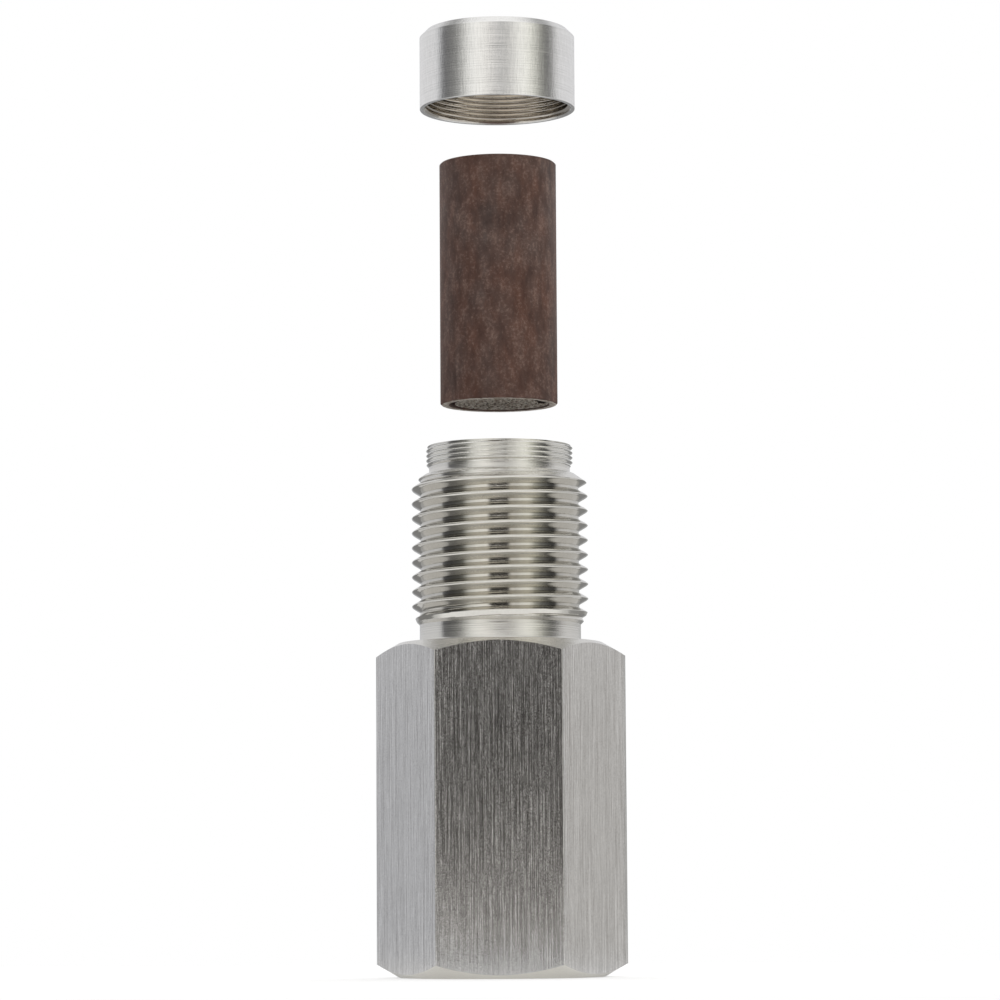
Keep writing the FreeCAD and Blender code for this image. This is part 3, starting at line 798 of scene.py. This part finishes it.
def build_strip_tree():
    """Winds a line of points inwards along a spiral, waves it and raises it into a strip."""
    tree, given, result = new_geometry_tree("wound_strip", STRIP_INPUTS)
    value = given.outputs
    line = add(tree, "GeometryNodeMeshLine", {"Count": value["Points"]})
    index = add(tree, "GeometryNodeInputIndex")
    last = add(tree, "ShaderNodeMath", {0: value["Points"], 1: 1.0}, operation="SUBTRACT")
    share = add(tree, "ShaderNodeMath", {0: index, 1: last}, operation="DIVIDE")
    turned = add(tree, "ShaderNodeMath", {0: share, 1: value["Turns"]}, operation="MULTIPLY")
    angle = add(tree, "ShaderNodeMath", {0: turned, 1: math.tau}, operation="MULTIPLY")
    sunk = add(tree, "ShaderNodeMath", {0: turned, 1: value["Layer"]}, operation="MULTIPLY")
    outer = add(tree, "ShaderNodeMath", {0: value["Outer Radius"], 1: value["Inset"]}, operation="SUBTRACT")
    middle = add(tree, "ShaderNodeMath", {0: outer, 1: sunk}, operation="SUBTRACT")
    # Length wound so far, which sets the wave's phase, is the mean radius times the angle
    half_sunk = add(tree, "ShaderNodeMath", {0: sunk, 1: 0.5}, operation="MULTIPLY")
    mean = add(tree, "ShaderNodeMath", {0: outer, 1: half_sunk}, operation="SUBTRACT")
    wound = add(tree, "ShaderNodeMath", {0: mean, 1: angle}, operation="MULTIPLY")
    phase = add(tree, "ShaderNodeMath", {0: wound, 1: value["Wave Length"]}, operation="DIVIDE")
    phase = add(tree, "ShaderNodeMath", {0: phase, 1: math.tau}, operation="MULTIPLY")
    swing = add(tree, "ShaderNodeMath", {0: phase}, operation="COSINE")
    half_wave = add(tree, "ShaderNodeMath", {0: value["Wave Height"], 1: 0.5}, operation="MULTIPLY")
    radius = add(tree, "ShaderNodeMath", {0: swing, 1: half_wave, 2: middle}, operation="MULTIPLY_ADD")
    cosine = add(tree, "ShaderNodeMath", {0: angle}, operation="COSINE")
    sine = add(tree, "ShaderNodeMath", {0: angle}, operation="SINE")
    x = add(tree, "ShaderNodeMath", {0: radius, 1: cosine}, operation="MULTIPLY")
    y = add(tree, "ShaderNodeMath", {0: radius, 1: sine}, operation="MULTIPLY")
    spot = add(tree, "ShaderNodeCombineXYZ", {"X": x, "Y": y, "Z": value["Foot Height"]})
    wave = add(tree, "GeometryNodeSetPosition", {"Geometry": line, "Position": spot})
    rise = add(tree, "ShaderNodeCombineXYZ", {"Z": value["Strip Height"]})
    strip = add(tree, "GeometryNodeExtrudeMesh", {"Mesh": wave, "Offset": rise}, mode="EDGES")
    realized = add(tree, "GeometryNodeRealizeInstances", {"Geometry": strip})
    finished = add(tree, "GeometryNodeSetMaterial", {"Geometry": realized, "Material": value["Material"]})
    tree.links.new(finished.outputs[0], result.inputs["Geometry"])
    return tree


strip_tree = build_strip_tree()
print("strip tree:", len(strip_tree.nodes), "nodes")


# %% Catalyst foil
FOIL_LAYER = 1.0
FOIL_WAVE = 1.15
FOIL_SKIN = 0.11
FOIL_TURNS = 4.35
FLAT_POINTS, WAVE_POINTS = 320, 900


def make_foil():
    """The flat and the corrugated strip as one object."""
    bm = bmesh.new()
    shared = {
        "Outer Radius": (SLEEVE_BORE - FOIL_SKIN / 2) * MM, "Layer": FOIL_LAYER * MM, "Wave Length": FOIL_WAVE * MM,
        "Turns": FOIL_TURNS, "Foot Height": FOIL_FOOT * MM, "Strip Height": (FOIL_TOP - FOIL_FOOT) * MM,
        "Material": washcoat,
    }
    wave_height = FOIL_LAYER - 2 * FOIL_SKIN
    bm.from_mesh(run_tree(strip_tree, {**shared, "Inset": 0.0, "Wave Height": 0.0, "Points": FLAT_POINTS}))
    bm.from_mesh(run_tree(strip_tree, {
        **shared, "Inset": FOIL_LAYER / 2 * MM, "Wave Height": wave_height * MM, "Points": WAVE_POINTS,
    }))
    mesh = bpy.data.meshes.new("foil_strips")
    bm.to_mesh(mesh)
    bm.free()
    strips = bpy.data.objects.new("foil_strips", mesh)
    scene.collection.objects.link(strips)
    solid = strips.modifiers.new("thickness", "SOLIDIFY")
    solid.thickness = FOIL_SKIN * MM
    solid.offset = 0.0
    thick = bpy.data.meshes.new_from_object(strips.evaluated_get(bpy.context.evaluated_depsgraph_get()))
    bpy.data.objects.remove(strips)
    bm = bmesh.new()
    bm.from_mesh(thick)
    return close_mesh(bm, "catalyst_foil_roll", [washcoat], sharp_degrees=40)


foil = make_foil()
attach(foil, "core")
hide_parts("catalyst_foil")

# %% [markdown]
# ## Studio
#
# Polished metal shows the room more than its own colour. The studio is a white sweep with two dark upright flags beside
# the object, a light on each side in front and a paler stretch of wall between them. Low down in front there is a dark
# patch, the camera and its stand, which only the front flat faces. In the world shader these are plain functions of
# direction, seen by every ray but the camera's, which meets white.

# %% World
# Each stop is an angle from the camera's side in degrees, positive to the right, and the colour of the wall there.
LOW_WALL = [
    (-180, "#B6B7BA"), (-93, "#C0C1C4"), (-90, "#6A6A6C"), (-84, "#4A4A4C"), (-74, "#424242"), (-66, "#484846"),
    (-60, "#4E4E4B"), (-55, "#62625E"), (-50, "#9A9A96"), (-46, "#C2C2BE"), (-40, "#D8D7D4"), (-33, "#EDECE8"),
    (-20, "#F6F4F0"), (-2, "#FCF8F2"), (5, "#EEEAE4"), (14, "#DEDAD4"), (24, "#D3D1CD"), (33, "#E8E7E2"),
    (43, "#F0EFE8"), (49, "#D2D1CA"), (53, "#A2A29B"), (58, "#8A8A84"), (63, "#6C6C6A"), (70, "#5A5A59"),
    (79, "#424242"), (88, "#424242"), (95, "#AAA9A8"), (106, "#B6B5B4"), (119, "#C8C6C3"), (130, "#B4B4B3"),
    (180, "#A9A9A8"),
]
HIGH_WALL = [
    (-180, "#C3C4C7"), (-93, "#C3C4C7"), (-89, "#7E7E80"), (-80, "#7C7C7D"), (-70, "#8A8A89"), (-60, "#A0A09F"),
    (-54, "#B8B8B6"), (-49, "#DADAD8"), (-43, "#F0F0EE"), (-34, "#FAFAF8"), (-20, "#FAF9F6"), (-10, "#F0EEEA"),
    (-4, "#F6F4F4"), (3, "#DCDCDC"), (11, "#C6C6C6"), (18, "#C4C4C3"), (27, "#E2E1DF"), (37, "#FAFAF6"),
    (45, "#FFFFFA"), (54, "#F8F7EE"), (61, "#D8D8D0"), (68, "#B0B0AA"), (75, "#8C8C88"), (81, "#646463"),
    (86, "#606060"), (90, "#A8A8A7"), (95, "#C3C2C1"), (180, "#C3C2C1"),
]
BELOW = [
    (-180, "#868686"), (-110, "#868686"), (-60, "#8C8C8A"), (-28, "#A6A5A2"), (-14, "#5A5650"), (12, "#5A5650"),
    (28, "#D0CEC8"), (45, "#FFFDF8"), (85, "#FFFDF8"), (110, "#A0A09F"), (180, "#868686"),
]
BACK_STARTS = math.radians(92)
BACK_BLEND = 0.2
BACK_ABOVE = "#DDDDDF"
STAND_HALF_WIDTH = math.radians(15)
STAND_COLOUR = "#1E1B19"
CORNICE_FRONT, CORNICE_SIDE, CEILING = "#C0C0BE", "#9A9A9A", "#FAFAFA"
# Where each band starts and where it is full, as the sine of the angle above the horizon
HIGH_WALL_BLEND = (0.09, 0.2)
BACK_ABOVE_BLEND = (0.05, 0.14)
STAND_TOP_BLEND = (0.15, 0.1)
STAND_FOOT_BLEND = (-0.05, 0.01)
CORNICE_BLEND = (0.62, 0.78)
CEILING_BLEND = (0.83, 0.9)
BELOW_BLEND = (-0.05, -0.17)


def make_wall(tree, share, colours):
    """A colour ramp round the horizon from (degrees, colour) stops."""
    ramp = add(tree, "ShaderNodeValToRGB", {"Fac": share})
    stops = ramp.color_ramp.elements
    stops[0].position, stops[0].color = 0.0, linear(colours[0][1])
    stops[1].position, stops[1].color = 1.0, linear(colours[-1][1])
    for degrees, colour in colours[1:-1]:
        stops.new((degrees + 180) / 360).color = linear(colour)
    return ramp.outputs[0]


def make_world():
    """Light by direction: wall bands round the horizon, a ceiling above and a dark patch low in front."""
    world = bpy.data.worlds.new("studio")
    world.use_nodes = True
    tree = world.node_tree
    tree.nodes.clear()
    axes = add(tree, "ShaderNodeSeparateXYZ", {0: add(tree, "ShaderNodeTexCoord").outputs["Generated"]})
    east, north, up = (axes.outputs[name] for name in "XYZ")
    toward = add(tree, "ShaderNodeMath", {0: north, 1: -1.0}, operation="MULTIPLY")
    azimuth = add(tree, "ShaderNodeMath", {0: east, 1: toward}, operation="ARCTAN2")
    share = add(tree, "ShaderNodeMath", {0: azimuth, 1: 1 / math.tau, 2: 0.5}, operation="MULTIPLY_ADD")
    upper, risen, under, over, high, overhead, low = [
        add(tree, "ShaderNodeMapRange", {"Value": up, "From Min": start, "From Max": full},
            interpolation_type="SMOOTHSTEP")
        for start, full in (HIGH_WALL_BLEND, BACK_ABOVE_BLEND, STAND_TOP_BLEND, STAND_FOOT_BLEND, CORNICE_BLEND,
                            CEILING_BLEND, BELOW_BLEND)
    ]
    low_wall, high_wall, below = [make_wall(tree, share, colours) for colours in (LOW_WALL, HIGH_WALL, BELOW)]
    wall = add(tree, "ShaderNodeMix", {"Factor": upper, COLOUR_A: low_wall, COLOUR_B: high_wall}, data_type="RGBA")
    aside = add(tree, "ShaderNodeMath", {0: azimuth}, operation="ABSOLUTE")
    # Behind the object the wall is paler higher up
    behind = add(tree, "ShaderNodeMapRange",
                 {"Value": aside, "From Min": BACK_STARTS, "From Max": BACK_STARTS + BACK_BLEND},
                 interpolation_type="SMOOTHSTEP")
    both = add(tree, "ShaderNodeMath", {0: behind, 1: risen}, operation="MULTIPLY")
    wall = add(tree, "ShaderNodeMix",
               {"Factor": both, COLOUR_A: wall.outputs[COLOUR_MIX], COLOUR_B: linear(BACK_ABOVE)},
               data_type="RGBA")
    # The dark patch in front
    inside = add(tree, "ShaderNodeMapRange",
                 {"Value": aside, "From Min": STAND_HALF_WIDTH * 1.3, "From Max": STAND_HALF_WIDTH * 0.7},
                 interpolation_type="SMOOTHSTEP")
    patch = add(tree, "ShaderNodeMath", {0: inside, 1: under}, operation="MULTIPLY")
    patch = add(tree, "ShaderNodeMath", {0: patch, 1: over}, operation="MULTIPLY")
    wall = add(tree, "ShaderNodeMix",
               {"Factor": patch, COLOUR_A: wall.outputs[COLOUR_MIX], COLOUR_B: linear(STAND_COLOUR)}, data_type="RGBA")
    # A darker cornice, then the ceiling
    to_side = add(tree, "ShaderNodeMapRange", {"Value": north, "From Min": -0.35, "From Max": 0.1})
    cornice = add(tree, "ShaderNodeMix",
                  {"Factor": to_side, COLOUR_A: linear(CORNICE_FRONT), COLOUR_B: linear(CORNICE_SIDE)},
                  data_type="RGBA")
    room = add(tree, "ShaderNodeMix",
               {"Factor": high, COLOUR_A: wall.outputs[COLOUR_MIX], COLOUR_B: cornice.outputs[COLOUR_MIX]},
               data_type="RGBA")
    room = add(tree, "ShaderNodeMix",
               {"Factor": overhead, COLOUR_A: room.outputs[COLOUR_MIX], COLOUR_B: linear(CEILING)}, data_type="RGBA")
    # What lies past the sheet's edge, below the horizon
    room = add(tree, "ShaderNodeMix", {"Factor": low, COLOUR_A: room.outputs[COLOUR_MIX], COLOUR_B: below},
               data_type="RGBA")
    is_camera = add(tree, "ShaderNodeLightPath").outputs["Is Camera Ray"]
    seen = add(tree, "ShaderNodeMix",
               {"Factor": is_camera, COLOUR_A: room.outputs[COLOUR_MIX], COLOUR_B: (1.0, 1.0, 1.0, 1.0)},
               data_type="RGBA")
    background = add(tree, "ShaderNodeBackground", {"Color": seen.outputs[COLOUR_MIX], "Strength": 1.0})
    add(tree, "ShaderNodeOutputWorld", {"Surface": background})
    return world


scene.world = make_world()
print("world:", len(scene.world.node_tree.nodes), "nodes")

# %% [markdown]
# ## Floor and lamp
#
# A photographer stands such a part on a white sheet. Here the sheet is flat, and painted shade darkens its colour
# behind the object. The sheet is diffuse, so it takes the soft shadow under the hexagon, and a little glow that only
# the camera and reflections meet brings its lit part to white without putting more light on the object. One large
# soft lamp overhead gives that shadow. The world alone could light the scene, but then the part would seem to float.

# %% Floor
FLOOR_HALF_SIDE = 0.09
# The sheet lies just under the foot, so that the two faces don't coincide
FLOOR_DROP = 0.02 * MM
FLOOR_LIFT = 0.25
# The sheet's colour in front, and behind the object with painted shade for the light that falls off there
SHEET_FRONT, SHEET_BEHIND_PAINTED_SHADE = 0.9, 0.5
SHEET_SHADE_RAMP = (-8 * MM, 12 * MM)


def make_floor():
    """A white sheet that the camera sees as white where no shadow falls."""
    material = bpy.data.materials.new("white_sweep")
    material.use_nodes = True
    tree = material.node_tree
    tree.nodes.clear()
    # Painted shade: the sheet's colour darkens behind the object and stands in for the lower light there. The sheet
    # stays flat
    depth = add(tree, "ShaderNodeSeparateXYZ", {0: add(tree, "ShaderNodeTexCoord").outputs["Object"]}).outputs["Y"]
    behind = add(tree, "ShaderNodeMapRange", {
        "Value": depth, "From Min": SHEET_SHADE_RAMP[0], "From Max": SHEET_SHADE_RAMP[1],
        "To Min": SHEET_FRONT, "To Max": SHEET_BEHIND_PAINTED_SHADE,
    })
    sheet = add(tree, "ShaderNodeBsdfDiffuse", {"Color": behind})
    rays = add(tree, "ShaderNodeLightPath").outputs
    direct = add(tree, "ShaderNodeMath", {0: rays["Is Camera Ray"], 1: rays["Is Glossy Ray"]}, operation="ADD")
    direct = add(tree, "ShaderNodeMath", {0: direct, 1: rays["Is Transmission Ray"]}, operation="ADD")
    lift = add(tree, "ShaderNodeMath", {0: direct, 1: FLOOR_LIFT}, operation="MULTIPLY")
    to_white = add(tree, "ShaderNodeMath", {0: 1.0, 1: behind}, operation="SUBTRACT")
    lift = add(tree, "ShaderNodeMath", {0: to_white, 1: rays["Is Camera Ray"], 2: lift}, operation="MULTIPLY_ADD")
    glow = add(tree, "ShaderNodeEmission", {"Color": (1.0, 1.0, 1.0, 1.0), "Strength": lift})
    both = add(tree, "ShaderNodeAddShader", {0: sheet, 1: glow})
    add(tree, "ShaderNodeOutputMaterial", {"Surface": both})
    mesh = bpy.data.meshes.new("floor")
    side = FLOOR_HALF_SIDE
    mesh.from_pydata([(-side, -side, 0), (side, -side, 0), (side, side, 0), (-side, side, 0)], [], [(0, 1, 2, 3)])
    mesh.materials.append(material)
    floor = bpy.data.objects.new("floor", mesh)
    floor.location.z = -FLOOR_DROP
    scene.collection.objects.link(floor)
    print(f"floor: {2000 * side:.0f} mm square")


make_floor()

# %% Soft lamp
def make_lamp(name, place, aim, width, height, power):
    """A soft rectangular lamp. Lengths in metres, power in watts."""
    data = bpy.data.lights.new(name, "AREA")
    data.shape = "RECTANGLE"
    data.size = width
    data.size_y = height
    data.energy = power
    lamp = bpy.data.objects.new(name, data)
    lamp.location = place
    lamp.rotation_euler = (Vector(aim) - Vector(place)).to_track_quat("-Z", "Y").to_euler()
    # The steel shows the world's ceiling instead of the lamp's sharp edges
    lamp.visible_glossy = False
    scene.collection.objects.link(lamp)
    print(f"lamp {name}: {power} W")


make_lamp("top_softbox", place=(0.05, 0.15, 0.7), aim=(0.0, 0.0, 0.05), width=0.5, height=0.5, power=0.8)
